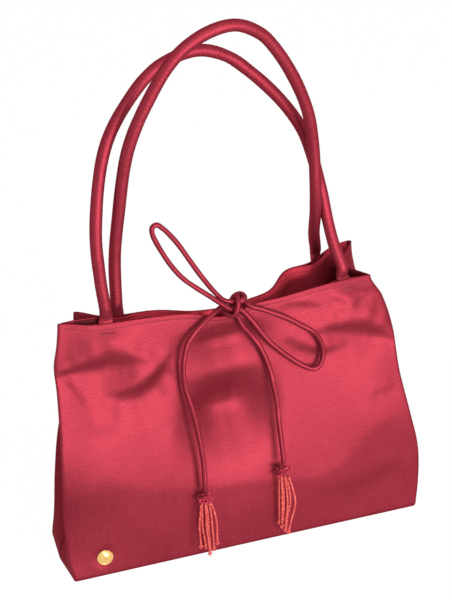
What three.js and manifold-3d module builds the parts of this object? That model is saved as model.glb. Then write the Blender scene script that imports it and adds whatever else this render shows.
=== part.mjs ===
// A satin handbag with a flat base, folded side gussets, two padded shoulder handles
// and two tie cords knotted in a bow over the mouth. Millimetres, +Z up, the front at -Y,
// with the origin on the ground under the middle of the base.
import * as THREE from "three";
import { mergeVertices } from "three/addons/utils/BufferGeometryUtils.js";
import Module from "manifold-3d";

// Overall sizes
const baseWidth = 314;
const baseDepth = 78;
const rimHeight = 218.5;

// Cloth and board
const satin = 1.2;
const lining = 0.8;
const boardThickness = 2;
const facingDepth = 35;
const seamGap = 0.3;
const baseCornerRadius = 6;
const liningInset = 14;
const liningLift = 2.5;
const endClearance = 1;

// Handles: satin tubes over a filler cord, pressed flat where they are sewn in
const handleDiameter = 10;
const sleeveWall = 0.8;
const tongueWidth = 13;
const tongueThickness = 2.2;
const tongueDepth = 20;
const tongueRise = 3;
const flareHeight = 14;
const frontHandleRise = 202;
const backHandleRise = 231;

// Tie cords and their bead tassels
const cordDiameter = 4.2;
const beadDiameter = 2.1;
const rosetteDiameter = 14;
const rosetteHeight = 11;

// Stud on the front panel, with a washer behind the cloth
const studDiameter = 13.5;
const studHeight = 2.6;
const postDiameter = 2;
const clinchDiameter = 3.6;
const clinchThickness = 0.6;
const washerDiameter = 11;
const washerThickness = 0.8;

// The facing leaves room for a handle's flat end between itself and the panel.
const facingOffset = satin + seamGap + tongueThickness + seamGap;
const wallStack = facingOffset + lining;

const colours = {
  satin: 0x9c1f3a,
  lining: 0x5a1020,
  board: 0x9a8468,
  filler: 0xe6dccb,
  coral: 0xe2604f,
  crimson: 0x8d1530,
  gilt: 0xd9a545,
};

function cloth(colour, roughness = 0.45) {
  return new THREE.MeshStandardMaterial({ color: colour, roughness, metalness: 0 });
}

function metal(colour) {
  return new THREE.MeshStandardMaterial({ color: colour, roughness: 0.25, metalness: 1 });
}

// A smooth line through rows of [place, value, value, ...].
function smoothRows(rows) {
  const places = rows.map((row) => row[0]);
  const values = rows.flatMap((row) => row.slice(1));
  const line = new THREE.CubicInterpolant(places, values, rows[0].length - 1);
  return (place) => Array.from(line.evaluate(place));
}

function mix(a, b, share) {
  return a + (b - a) * share;
}

// Front rim: [share of the width, y, height above the rim corners]. It dips at the bow.
const frontRim = smoothRows([
  [0, -4, 0],
  [0.1, -9, -3],
  [0.25, -13.5, -2.5],
  [0.4, -13, -6],
  [0.48, -10.5, -13.5],
  [0.54, -8.5, -15],
  [0.6, -9.5, -9],
  [0.7, -12, -5.5],
  [0.85, -13, 0],
  [1, -9.5, 0],
]);

// Back rim: [share of the width, mouth gap to the front rim, height above the corners].
const backRim = smoothRows([
  [0, 12.6, 0],
  [0.08, 8.9, -4],
  [0.25, 6.6, -4.5],
  [0.38, 2.6, -10],
  [0.49, 2, -12],
  [0.56, 3, -9],
  [0.64, 9, -6],
  [0.73, 32, -1.5],
  [0.82, 34, 1.5],
  [0.92, 46, 5],
  [1, 48.5, 7.5],
]);

// Edges of the two big panels: [share of the height, inset from the base's end,
// share of the way from the base's edge to the rim's y].
const frontLeftEdge = smoothRows([
  [0, 0, 0],
  [0.022, -0.9, 0.02],
  [0.08, -2.8, 0.17],
  [0.15, -4, 0.25],
  [0.26, -5.6, 0.24],
  [0.39, -6.3, 0.13],
  [0.52, -5.2, 0.21],
  [0.62, -3.3, 0.38],
  [0.76, -1.5, 0.67],
  [0.85, -1.3, 0.85],
  [0.92, 2.6, 0.94],
  [1, 5, 1],
]);

const frontRightEdge = smoothRows([
  [0, 0, 0],
  [0.022, -0.1, 0],
  [0.12, -1.2, 0],
  [0.28, 0.8, 0],
  [0.44, 9.4, 0.05],
  [0.61, 17, 0.33],
  [0.8, 22, 0.64],
  [0.92, 29.6, 0.85],
  [1, 38.5, 1],
]);

const backLeftEdge = smoothRows([
  [0, 0, 0],
  [0.022, 1, 0],
  [0.08, 5, -0.08],
  [0.26, 9, -0.18],
  [0.43, 12, -0.08],
  [0.6, 16, 0.25],
  [0.8, 20, 0.62],
  [1, 23.5, 1],
]);

const backRightEdge = smoothRows([
  [0, 0, 0],
  [0.022, 0, 0],
  [0.3, 1, 0.3],
  [0.5, 8, 0.6],
  [0.75, 17, 0.9],
  [1, 30, 1],
]);

// Middle of each big panel: [share of the height, share of the way to the rim's y].
const frontMiddle = smoothRows([
  [0, 0],
  [0.022, -0.01],
  [0.18, -0.07],
  [0.37, -0.02],
  [0.55, 0.26],
  [0.73, 0.61],
  [0.9, 0.91],
  [1, 1],
]);

const backMiddle = smoothRows([
  [0, 0],
  [0.022, 0],
  [0.2, -0.06],
  [0.4, 0.02],
  [0.6, 0.28],
  [0.8, 0.66],
  [1, 1],
]);

const leftReach = 30;
const rightReach = 40;

// A big panel's outer face: u runs left to right and v runs up, both from 0 to 1.
function bigPanel(side, leftEdge, rightEdge, middle, rim) {
  return (u, v) => {
    const [leftInset, leftLean] = leftEdge(v);
    const [rightInset, rightLean] = rightEdge(v);
    const [middleLean] = middle(v);
    const left = -baseWidth / 2 + leftInset;
    const right = baseWidth / 2 - rightInset;
    const fromLeft = u * baseWidth;
    const fromRight = (1 - u) * baseWidth;
    const byLeft = Math.exp(-fromLeft / leftReach) * (1 - u);
    const byRight = Math.exp(-fromRight / rightReach) * u;
    const lean = middleLean + byLeft * (leftLean - middleLean) + byRight * (rightLean - middleLean);
    const [rimY, rise] = rim(u);
    return new THREE.Vector3(
      mix(left, right, u),
      mix(side * baseDepth / 2, rimY, lean),
      v * (rimHeight + v * rise),
    );
  };
}

// The direction into the bag, square to a wall's face. turn is 1 or -1.
function inwards(surface, u, v, turn) {
  const step = 0.03;
  const u0 = Math.max(u - step, 0);
  const u1 = Math.min(u + step, 1);
  const v0 = Math.max(v - step, 0);
  const v1 = Math.min(v + step, 1);
  const across = surface(u1, v).sub(surface(u0, v));
  const up = surface(u, v1).sub(surface(u, v0));
  return across.cross(up).normalize().multiplyScalar(-turn);
}

// The direction into the bag behind one flat stretch of a wall, between two stations
// across it and two up it.
function facing(surface, us, vs, turn) {
  const rising = surface(us[1], vs[1]).sub(surface(us[0], vs[0]));
  const falling = surface(us[1], vs[0]).sub(surface(us[0], vs[1]));
  return falling.cross(rising).normalize().multiplyScalar(-turn);
}

// The cloth is flat between these stations and runs back into its folds beyond them.
function flattened(surface, us, vs) {
  const corners = vs.flatMap((v) => us.map((u) => surface(u, v)));
  const middle = new THREE.Vector3();
  corners.forEach((corner) => middle.addScaledVector(corner, 1 / corners.length));
  const out = facing(surface, us, vs, 1);
  const within = (value, [low, high]) => {
    const beyond = Math.max(low - value, value - high, 0);
    return 1 - THREE.MathUtils.smoothstep(beyond, 0, high - low);
  };
  return (u, v) => {
    const place = surface(u, v);
    const off = place.clone().sub(middle).dot(out);
    return place.addScaledVector(out, -off * within(u, us) * within(v, vs));
  };
}

// Where the handles are sewn in and the stud sits: each on one flat stretch of its wall,
// between two shares of the wall's width.
const frontRoots = [[0.114, 0.166], [0.88, 0.934]];
const backRoots = [[0.098, 0.152], [0.813, 0.867]];
const studAcross = [0.068, frontRoots[0][0]];
const studUp = [0.05, 0.115];

const frontCurve = bigPanel(-1, frontLeftEdge, frontRightEdge, frontMiddle, frontRim);
const frontWall = flattened(frontCurve, studAcross, studUp);

const [backLeftInset] = backLeftEdge(1);
const [backRightInset] = backRightEdge(1);
const [frontLeftInset] = frontLeftEdge(1);
const [frontRightInset] = frontRightEdge(1);
const frontRimWidth = baseWidth - frontLeftInset - frontRightInset;
const backRimWidth = baseWidth - backLeftInset - backRightInset;

// The back rim lies behind the front rim by both walls and the mouth gap.
function backRimPlace(u) {
  const [gap, rise] = backRim(u);
  const x = backLeftInset + u * backRimWidth - frontLeftInset;
  const [frontY] = frontRim(THREE.MathUtils.clamp(x / frontRimWidth, 0, 1));
  return [frontY + 2 * wallStack + gap, rise];
}

const backWall = bigPanel(1, backLeftEdge, backRightEdge, backMiddle, backRimPlace);

// Closed sheet of cloth between two depths behind a surface.
function sheet(surface, turn, us, vs, depth, thickness) {
  const columns = us.length;
  const rows = vs.length;
  const layer = columns * rows;
  const places = [];
  for (const behind of [depth, depth + thickness]) {
    for (const v of vs) {
      for (const u of us) {
        const place = surface(u, v).addScaledVector(inwards(surface, u, v, turn), behind);
        if (v === 0) {
          place.z = 0;
        }
        places.push(place.x, place.y, place.z);
      }
    }
  }
  const faces = [];
  const quad = (a, b, c, d) => faces.push(a, b, c, a, c, d);
  for (let j = 0; j < rows - 1; j += 1) {
    for (let i = 0; i < columns - 1; i += 1) {
      const a = j * columns + i;
      quad(a, a + 1, a + 1 + columns, a + columns);
      quad(a + layer, a + columns + layer, a + 1 + columns + layer, a + 1 + layer);
    }
  }
  const loop = [];
  for (let i = 0; i < columns - 1; i += 1) {
    loop.push(i);
  }
  for (let j = 0; j < rows - 1; j += 1) {
    loop.push(j * columns + columns - 1);
  }
  for (let i = columns - 1; i > 0; i -= 1) {
    loop.push((rows - 1) * columns + i);
  }
  for (let j = rows - 1; j > 0; j -= 1) {
    loop.push(j * columns);
  }
  loop.forEach((a, k) => {
    const b = loop[(k + 1) % loop.length];
    quad(b, a, a + layer, b + layer);
  });
  if (turn < 0) {
    faces.reverse();
  }
  const geometry = new THREE.BufferGeometry();
  geometry.setAttribute("position", new THREE.Float32BufferAttribute(places, 3));
  geometry.setIndex(faces);
  return geometry;
}

const bag = new THREE.Group();

function add(name, geometry, material) {
  const mesh = new THREE.Mesh(geometry, material);
  mesh.name = name;
  bag.add(mesh);
  return mesh;
}

// Stations across and up the walls, closer where the rim dips and the corners lean.
const frontAcross = [0, 0.03, studAcross[0], ...frontRoots[0], 0.26, 0.38, 0.46, 0.51, 0.56, 0.62];
frontAcross.push(0.7, 0.8, ...frontRoots[1], 1);
const backAcross = [0, 0.05, ...backRoots[0], 0.26, 0.38, 0.46, 0.52, 0.58, 0.64, 0.7, 0.76];
backAcross.push(...backRoots[1], 0.93, 1);
const facingShare = 1 - facingDepth / rimHeight;
const tongueShare = 1 - tongueDepth / rimHeight;
const rootShare = tongueShare - 0.01;
const liningFoot = (satin + boardThickness + lining + liningLift + 3 * seamGap) / rimHeight;
const up = [0, liningFoot, ...studUp, 0.18, 0.29, 0.44, 0.6, 0.73, facingShare, rootShare, 1];
const liningTop = facingShare - seamGap / rimHeight;

// The lining and facing start clear of the gusset's seam.
function inset(stations, from, to) {
  return [from, ...stations.filter((s) => s > from + 0.012 && s < to - 0.012), to];
}

const liningUp = inset(up, liningFoot, liningTop);

const walls = [
  ["front", frontWall, 1, frontAcross],
  ["back", backWall, -1, backAcross],
];
for (const [side, wall, turn, across] of walls) {
  const liningAcross = inset(across, liningInset / baseWidth, 1 - liningInset / baseWidth);
  add(`${side}_panel`, sheet(wall, turn, across, up, 0, satin), cloth(colours.satin));
  add(
    `${side}_facing`,
    sheet(wall, turn, liningAcross, [facingShare, rootShare, 1], facingOffset, lining),
    cloth(colours.satin),
  );
  add(
    `${side}_lining`,
    sheet(wall, turn, liningAcross, liningUp, facingOffset, lining),
    cloth(colours.lining, 0.7),
  );
}

// Side gussets: each is folded inwards, with a groove outside between its two halves.
// [share of the height, depth of the fold]
const leftFold = smoothRows([
  [0, 0],
  [0.035, 0.5],
  [0.11, 13],
  [0.23, 30],
  [0.5, 32],
  [0.75, 34],
  [1, 28],
]);
const rightFold = smoothRows([
  [0, 0],
  [0.035, 0],
  [0.28, 3],
  [0.45, 10],
  [0.6, 17],
  [0.8, 23],
  [1, 25],
]);
const foldGap = 1.8;
const foldSwell = 2.6;
const foldFrom = 0.48;
const seamSetBack = satin + seamGap + satin;

// The outer face of a gusset: s runs from the front seam round the fold to the back seam.
function gusset(end, fold) {
  const u = end < 0 ? 0 : 1;
  const wallY = (wall, x, v) => {
    const left = wall(0, v).x;
    const right = wall(1, v).x;
    return wall(THREE.MathUtils.clamp((x - left) / (right - left), 0, 1), v).y;
  };
  return (s, v) => {
    const front = frontWall(u, v).addScaledVector(inwards(frontWall, u, v, 1), seamSetBack);
    const back = backWall(u, v).addScaledVector(inwards(backWall, u, v, -1), seamSetBack);
    const middle = front.clone().lerp(back, 0.5);
    const apex = middle.clone();
    apex.x -= end * fold(v)[0];
    const between = (wallY(frontWall, apex.x, v) + wallY(backWall, apex.x, v)) / 2;
    apex.y = mix(middle.y, between, THREE.MathUtils.smoothstep(v, 0.5, 0.9));
    const half = s < 0.5 ? -1 : 1;
    const seam = half < 0 ? front : back;
    apex.y += half * foldGap / 2;
    const share = (half < 0 ? s : 1 - s) / foldFrom;
    const place = seam.lerp(apex, Math.min(share, 1));
    place.y -= half * foldSwell * 4 * share * (1 - share) * THREE.MathUtils.smoothstep(v, 0.1, 0.5);
    return place;
  };
}

const liningRound = [0.2, 0.34, foldFrom, 1 - foldFrom, 0.66, 0.8];
const round = [0, ...liningRound, 1];
const liningSetBack = satin + seamGap;
const sides = [
  ["left", gusset(-1, leftFold), -1],
  ["right", gusset(1, rightFold), 1],
];
for (const [side, surface, turn] of sides) {
  add(`${side}_gusset`, sheet(surface, turn, round, up, 0, satin), cloth(colours.satin));
  add(
    `${side}_gusset_lining`,
    sheet(surface, turn, liningRound, inset(up, liningFoot, 1), liningSetBack, lining),
    cloth(colours.lining, 0.7),
  );
}

// Base: the satin panel, the board on it and the lining over the board.
function plate(distance, z, thickness) {
  const width = baseWidth - 2 * distance - 2 * endClearance;
  const depth = baseDepth - 2 * distance;
  const r = baseCornerRadius;
  const outline = new THREE.Shape();
  outline.moveTo(-width / 2 + r, -depth / 2);
  outline.lineTo(width / 2 - r, -depth / 2);
  outline.absarc(width / 2 - r, -depth / 2 + r, r, -Math.PI / 2, 0);
  outline.absarc(width / 2 - r, depth / 2 - r, r, 0, Math.PI / 2);
  outline.absarc(-width / 2 + r, depth / 2 - r, r, Math.PI / 2, Math.PI);
  outline.absarc(-width / 2 + r, -depth / 2 + r, r, Math.PI, 1.5 * Math.PI);
  const settings = { depth: thickness, bevelEnabled: false, curveSegments: 4 };
  return new THREE.ExtrudeGeometry(outline, settings).translate(0, 0, z);
}

const boardFoot = satin + seamGap;
const liningFootHeight = boardFoot + boardThickness + seamGap;
add("base_panel", plate(satin + 2 * seamGap, 0, satin), cloth(colours.satin));
const boardInset = satin + 6 * seamGap;
add("base_board", plate(boardInset, boardFoot, boardThickness), cloth(colours.board, 0.9));
add("base_lining", plate(facingOffset, liningFootHeight, lining), cloth(colours.lining, 0.7));

// A tube along a line, with an oval section. size gives its half width and half
// thickness at a distance along the line, and thin the direction of its thickness.
function ring(line, distance, size, thin, sides) {
  const at = line.getPointAt(distance / line.getLength());
  const along = line.getTangentAt(distance / line.getLength());
  const wide = new THREE.Vector3().crossVectors(along, thin(distance)).normalize();
  const deep = new THREE.Vector3().crossVectors(wide, along).normalize();
  const [halfWidth, halfThickness] = size(distance);
  const places = [];
  for (let k = 0; k < sides; k += 1) {
    const angle = (2 * Math.PI * k) / sides;
    const place = at.clone().addScaledVector(wide, Math.cos(angle) * halfWidth);
    places.push(place.addScaledVector(deep, Math.sin(angle) * halfThickness));
  }
  return places;
}

function ringStrip(faces, first, second, sides) {
  for (let k = 0; k < sides; k += 1) {
    const next = (k + 1) % sides;
    faces.push(first + k, first + next, second + next);
    faces.push(first + k, second + next, second + k);
  }
}

// The tube is solid, or open at both ends where wall is given.
function tube(line, stations, size, thin, wall) {
  const sides = 10;
  const rings = stations.map((distance) => ring(line, distance, size, thin, sides));
  const faces = [];
  const count = stations.length;
  for (let i = 0; i < count - 1; i += 1) {
    ringStrip(faces, i * sides, (i + 1) * sides, sides);
  }
  if (wall) {
    const inner = (distance) => size(distance).map((half) => half - wall);
    rings.push(...stations.map((distance) => ring(line, distance, inner, thin, sides)));
    for (let i = 0; i < count - 1; i += 1) {
      ringStrip(faces, (count + i + 1) * sides, (count + i) * sides, sides);
    }
    ringStrip(faces, count * sides, 0, sides);
    ringStrip(faces, (count - 1) * sides, (2 * count - 1) * sides, sides);
  } else {
    for (let k = 1; k < sides - 1; k += 1) {
      faces.push(0, k + 1, k);
      faces.push((count - 1) * sides, (count - 1) * sides + k, (count - 1) * sides + k + 1);
    }
  }
  faces.reverse();
  const geometry = new THREE.BufferGeometry();
  const places = rings.flat().flatMap((place) => place.toArray());
  geometry.setAttribute("position", new THREE.Float32BufferAttribute(places, 3));
  geometry.setIndex(faces);
  return geometry;
}

// A handle's arc between its roots: [share of the way across, lean towards the back in
// handle diameters, share of the rise]. The handles cross, so they lean past each other.
const frontArc = [
  [-0.016, 0.1, 0.17],
  [-0.022, 0.4, 0.38],
  [0.04, 1.4, 0.68],
  [0.142, 2, 0.84],
  [0.27, 2.5, 0.955],
  [0.43, 2.7, 1],
  [0.55, 2.8, 0.965],
  [0.655, 2.7, 0.885],
  [0.78, 2.65, 0.757],
  [0.865, 2.6, 0.635],
  [0.912, 2.65, 0.522],
  [0.949, 2.3, 0.375],
  [0.966, 1.8, 0.26],
  [0.98, 0.9, 0.149],
];
const backArc = [
  [-0.002, 0, 0.2],
  [0.01, -0.5, 0.36],
  [0.05, -1.3, 0.61],
  [0.136, -2, 0.78],
  [0.24, -2.6, 0.91],
  [0.366, -3.1, 0.98],
  [0.495, -3.5, 1],
  [0.61, -3.6, 0.96],
  [0.678, -3.6, 0.905],
  [0.775, -3.5, 0.79],
  [0.857, -3.2, 0.653],
  [0.899, -2.85, 0.516],
  [0.92, -2.7, 0.352],
  [0.938, -2.1, 0.253],
  [0.963, -1, 0.146],
];

const handleRadius = handleDiameter / 2;
const coreGap = 0.3;

// Where a handle's flat end lies between panel and facing, at a height share v.
function tongueAt(wall, turn, root, v) {
  const behind = satin + seamGap + tongueThickness / 2;
  const [left, right] = root.map((u) => wall(u, v).addScaledVector(inwards(wall, u, v, turn), behind));
  return left.lerp(right, 0.5);
}

function handle(name, wall, turn, roots, arc, rise) {
  const ends = roots.map((root) => [tongueShare, 1].map((v) => tongueAt(wall, turn, root, v)));
  const [start, finish] = ends.map(([foot, rim]) => {
    const along = rim.clone().sub(foot).normalize();
    return rim.clone().addScaledVector(along, tongueRise);
  });
  const points = [ends[0][0], ends[0][1], start];
  const stub = flareHeight / 2;
  points.push(start.clone().add(new THREE.Vector3(0, 0, stub)));
  for (const [share, lean, height] of arc) {
    points.push(new THREE.Vector3(
      mix(start.x, finish.x, share),
      mix(start.y, finish.y, THREE.MathUtils.clamp(share, 0, 1)) + lean * handleDiameter,
      start.z + rise * height,
    ));
  }
  points.push(finish.clone().add(new THREE.Vector3(0, 0, stub)), finish, ends[1][1], ends[1][0]);
  const line = new THREE.CatmullRomCurve3(points, false, "centripetal");
  line.arcLengthDivisions = 800;
  const length = line.getLength();
  const flatTo = tongueDepth + tongueRise;
  const roundFrom = flatTo + flareHeight;
  const fullness = (distance) => {
    const fromEnd = Math.min(distance, length - distance);
    return THREE.MathUtils.smoothstep(fromEnd, flatTo, roundFrom);
  };
  const size = (distance) => {
    const full = fullness(distance);
    return [mix(tongueWidth / 2, handleRadius, full), mix(tongueThickness / 2, handleRadius, full)];
  };
  const flat = [0, flatTo, flatTo + flareHeight * 0.35, flatTo + flareHeight * 0.7];
  const steps = 24;
  const stations = [...flat];
  for (let i = 0; i <= steps; i += 1) {
    stations.push(mix(roundFrom, length - roundFrom, i / steps));
  }
  stations.push(...flat.map((distance) => length - distance).reverse());
  const upright = new THREE.Vector3(0, turn, 0);
  const thin = (distance) => {
    const root = distance < length / 2 ? roots[0] : roots[1];
    return facing(wall, root, [rootShare, 1], turn).lerp(upright, fullness(distance));
  };
  add(`${name}_handle_sleeve`, tube(line, stations, size, thin, sleeveWall), cloth(colours.satin));
  const core = handleRadius - sleeveWall - coreGap;
  const coreStations = stations.filter((d) => d >= roundFrom - 0.01 && d <= length - roundFrom + 0.01);
  const filler = tube(line, coreStations, () => [core, core], thin);
  add(`${name}_handle_filler`, filler, cloth(colours.filler, 0.9));
}

handle("front", frontWall, 1, frontRoots, frontArc, frontHandleRise);
handle("back", backWall, -1, backRoots, backArc, backHandleRise);

// Tie cords. The front tie leaves the front rim, wraps the knot, makes the right loop and
// hangs down as the left end. The back tie leaves the back rim behind the knot, makes the
// left loop and hangs down as the right end.
const frontTieRoute = [
  [-15, -7.9, 205.4],
  [-14.6, -8.9, 207.2],
  [-12.8, -12.4, 207.2],
  [-10.4, -16, 206.2],
  [-8.2, -17.8, 207.4],
  [-6.6, -18.3, 210.4],
  [-5, -17.6, 214],
  [-3.8, -14.6, 218.8],
  [-2.6, -10, 221],
  [-1, -5.6, 218.8],
  [0.9, -4.3, 214.8],
  [4.6, -7.2, 212.8],
  [8.6, -12, 210],
  [17.8, -14.4, 206.6],
  [38.9, -18.9, 196.6],
  [48.9, -22.3, 190.3],
  [57.9, -25.3, 184.5],
  [63.7, -26.2, 177.7],
  [67.3, -27, 167.5],
  [66.9, -27.9, 158.4],
  [63.5, -28.6, 152.4],
  [58.6, -28.4, 150.8],
  [51.2, -27.2, 154],
  [40.3, -25, 161.8],
  [21.5, -20.4, 179.7],
  [6.8, -14.6, 200.6],
  [0.6, -11.2, 207.4],
  [-5, -8.6, 209.2],
  [-12, -8.5, 211.6],
  [-15.5, -9, 212.2],
  [-27, -15, 209.2],
  [-44.8, -21.4, 198.6],
  [-51.3, -23.6, 191],
  [-54.7, -25.6, 180.9],
  [-56.2, -27.2, 170.1],
  [-55.5, -30, 155.6],
  [-50.5, -35.2, 132.9],
  [-46.2, -43.8, 95.3],
  [-46.3, -48.3, 74],
  [-46.3, -48.8, 67],
];
const backTieRoute = [
  [-4, 0.6, 207.4],
  [-3.6, 0.8, 210.8],
  [-0.6, 1.4, 215],
  [3.1, -0.2, 217.6],
  [4.6, -4.6, 218.6],
  [4.8, -9, 217.7],
  [1.8, -11, 216.3],
  [-3, -10.4, 215.4],
  [-8, -9.9, 216],
  [-14.1, -9.5, 218.2],
  [-21.4, -9.5, 226],
  [-31.1, -9, 239.3],
  [-39.3, -8, 252],
  [-52.6, -6.5, 273.4],
  [-59.2, -6, 282],
  [-64.8, -6, 288],
  [-69.4, -6, 291.2],
  [-73, -6.1, 289.2],
  [-72.8, -6.4, 283.4],
  [-70.4, -6.7, 277.4],
  [-65.7, -7, 268],
  [-58.8, -8, 256.1],
  [-49.7, -9.6, 244.1],
  [-39.2, -11.2, 234.7],
  [-27.5, -12.6, 225.4],
  [-17.4, -13.4, 217],
  [-11.6, -13.7, 212.6],
  [-7, -13.7, 209],
  [-4.4, -14.2, 204.6],
  [0, -14.8, 195.5],
  [7.6, -16.2, 185.5],
  [13.3, -18.9, 176.6],
  [17.8, -22, 166.1],
  [20.9, -25.4, 154.2],
  [22.5, -29.1, 141.7],
  [23.8, -32.6, 129.8],
  [23.9, -38, 110.7],
  [24.2, -43.9, 92],
  [24.2, -47.4, 81.5],
  [24.2, -48, 77.5],
];

// A cord's steps end on the route's points, which lie closer together in the knot.
class Route extends THREE.CatmullRomCurve3 {
  getUtoTmapping(share) {
    return share;
  }
}

const cordSides = 8;

function cord(name, route, diameter, steps, material) {
  const points = route.map(([x, y, z]) => new THREE.Vector3(x, y, z));
  const section = new THREE.Shape();
  section.absarc(0, 0, diameter / 2, 0, 2 * Math.PI);
  const outline = new THREE.Shape(section.getPoints(cordSides).slice(0, cordSides));
  const line = new Route(points, false, "centripetal");
  const settings = { steps, extrudePath: line, bevelEnabled: false };
  add(name, new THREE.ExtrudeGeometry(outline, settings), material);
}

cord("front_tie", frontTieRoute, cordDiameter, frontTieRoute.length - 1, cloth(colours.satin));
cord("back_tie", backTieRoute, cordDiameter, backTieRoute.length - 1, cloth(colours.satin));

// Tassels: a rosette of bead loops on each cord end, with bead strands hanging from it.
// A strand's row: [x and y where it leaves the rosette, x half way down, x at its foot, length].
const leftStrands = [
  [-4.4, -1.4, -6, -4.6, 41],
  [-2.6, 1.4, -2.2, 1, 44],
  [-0.6, -1.4, 0.6, 3.6, 50],
  [1.4, 1.4, 3.2, 5, 48],
  [3, -1.4, 5.4, 7.2, 46],
  [5, 1.4, 10.4, 11, 43],
];
const rightStrands = [
  [-3.8, 1.4, -3, -2.4, 47],
  [-2.6, -1.4, -1.4, -1.2, 50],
  [-0.6, 1.4, 1.2, 1, 44],
  [0.4, -1.4, 3.4, 1.8, 54],
  [2.4, 1.4, 7.2, 3.6, 52],
  [3.6, -1.4, 10.6, 4.6, 57],
];

function rosette(centre) {
  const r = rosetteDiameter / 2;
  const h = rosetteHeight;
  const profile = [
    [0, 0],
    [r * 0.75, 0],
    [r, h * 0.3],
    [r, h * 0.65],
    [r * 0.6, h],
    [0, h],
  ].map(([x, y]) => new THREE.Vector2(x, y));
  const body = new THREE.LatheGeometry(profile, 10);
  return body.rotateX(Math.PI / 2).translate(centre.x, centre.y, centre.z);
}

function tassel(side, route, strands) {
  const [x, y, z] = route[route.length - 1];
  const foot = new THREE.Vector3(x, y, z - seamGap - rosetteHeight);
  add(`${side}_rosette`, rosette(foot), cloth(colours.crimson, 0.3));
  strands.forEach(([topX, topY, middleX, footX, length], k) => {
    const top = foot.z - seamGap;
    const strand = [
      [x + topX, y + topY, top],
      [x + mix(topX, middleX, 0.6), y + topY, top - 0.22 * length],
      [x + middleX, y + topY, top - 0.5 * length],
      [x + mix(middleX, footX, 0.6), y + topY, top - 0.78 * length],
      [x + footX, y + topY, top - length],
    ];
    const steps = 2 * (strand.length - 1);
    cord(`${side}_bead_strand_${k + 1}`, strand, beadDiameter, steps, cloth(colours.coral, 0.3));
  });
}

tassel("left", frontTieRoute, leftStrands);
tassel("right", backTieRoute, rightStrands);

// The stud's dome lies on the front panel, and its clinched post holds a washer behind it.
const wasm = await Module();
wasm.setup();

function solid(geometry) {
  geometry.deleteAttribute("normal");
  geometry.deleteAttribute("uv");
  const merged = mergeVertices(geometry);
  return new wasm.Manifold(new wasm.Mesh({
    numProp: 3,
    vertProperties: new Float32Array(merged.attributes.position.array),
    triVerts: new Uint32Array(merged.index.array),
  }));
}

function geometryOf(body) {
  const mesh = body.getMesh();
  const geometry = new THREE.BufferGeometry();
  geometry.setAttribute("position", new THREE.Float32BufferAttribute(mesh.vertProperties, 3));
  geometry.setIndex(Array.from(mesh.triVerts));
  return geometry;
}

const studCorners = studUp.flatMap((v) => studAcross.map((u) => frontWall(u, v)));
const studOut = facing(frontWall, studAcross, studUp, 1).negate();
const studSeat = new THREE.Vector3();
studCorners.forEach((corner) => studSeat.addScaledVector(corner, 1 / studCorners.length));

// A turned piece on the stud's axis, from [radius, height over the panel's face] points.
function turned(outline, segments) {
  const points = outline.map(([radius, height]) => new THREE.Vector2(radius, height));
  const body = new THREE.LatheGeometry(points, segments);
  const tilt = new THREE.Quaternion().setFromUnitVectors(new THREE.Vector3(0, 1, 0), studOut);
  return body.applyQuaternion(tilt).translate(studSeat.x, studSeat.y, studSeat.z);
}

const studSegments = 24;
const postSegments = 12;
const domeFoot = seamGap;
const washerTop = -(satin + seamGap);
const clinchTop = washerTop - washerThickness - seamGap;
const clinchFoot = clinchTop - clinchThickness;
const postRadius = postDiameter / 2;
const studRadius = studDiameter / 2;
const stud = turned([
  [0, clinchFoot],
  [clinchDiameter / 2, clinchFoot],
  [clinchDiameter / 2, clinchTop],
  [postRadius, clinchTop],
  [postRadius, domeFoot],
  [studRadius, domeFoot],
  [studRadius, domeFoot + studHeight * 0.25],
  [studRadius * 0.9, domeFoot + studHeight * 0.5],
  [studRadius * 0.65, domeFoot + studHeight * 0.8],
  [studRadius * 0.35, domeFoot + studHeight * 0.96],
  [0, domeFoot + studHeight],
], studSegments);
add("stud", stud, metal(colours.gilt));
const holeRadius = postRadius + seamGap;
const washer = turned([
  [holeRadius, washerTop],
  [holeRadius, washerTop - washerThickness],
  [washerDiameter / 2, washerTop - washerThickness],
  [washerDiameter / 2, washerTop],
  [holeRadius, washerTop],
], studSegments);
add("washer", washer, metal(colours.gilt));
const hole = turned([
  [0, clinchTop],
  [holeRadius, clinchTop],
  [holeRadius, studHeight],
  [0, studHeight],
], postSegments);
const frontPanel = bag.getObjectByName("front_panel");
frontPanel.geometry = geometryOf(solid(frontPanel.geometry).subtract(solid(hole)));

export default bag;
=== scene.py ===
import math

import bpy
import numpy as np
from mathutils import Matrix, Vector


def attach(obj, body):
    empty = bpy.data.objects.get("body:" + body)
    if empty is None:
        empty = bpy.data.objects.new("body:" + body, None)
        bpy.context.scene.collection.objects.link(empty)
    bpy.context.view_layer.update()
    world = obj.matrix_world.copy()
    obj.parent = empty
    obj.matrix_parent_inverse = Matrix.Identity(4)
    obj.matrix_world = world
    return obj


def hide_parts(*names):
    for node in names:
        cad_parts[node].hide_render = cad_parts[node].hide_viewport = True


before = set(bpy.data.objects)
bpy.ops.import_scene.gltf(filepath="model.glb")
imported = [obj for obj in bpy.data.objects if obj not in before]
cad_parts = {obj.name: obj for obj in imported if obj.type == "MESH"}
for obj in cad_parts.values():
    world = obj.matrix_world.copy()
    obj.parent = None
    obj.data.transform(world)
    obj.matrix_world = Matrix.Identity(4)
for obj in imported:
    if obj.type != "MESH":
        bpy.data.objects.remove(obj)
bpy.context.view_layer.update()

# The studio: a pale floor and a pale room, a soft lamp low on the right that brings out the
# satin, and a weaker one above the lens that opens the shadows.
scene = bpy.context.scene
scene.view_settings.view_transform = "Standard"


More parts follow.
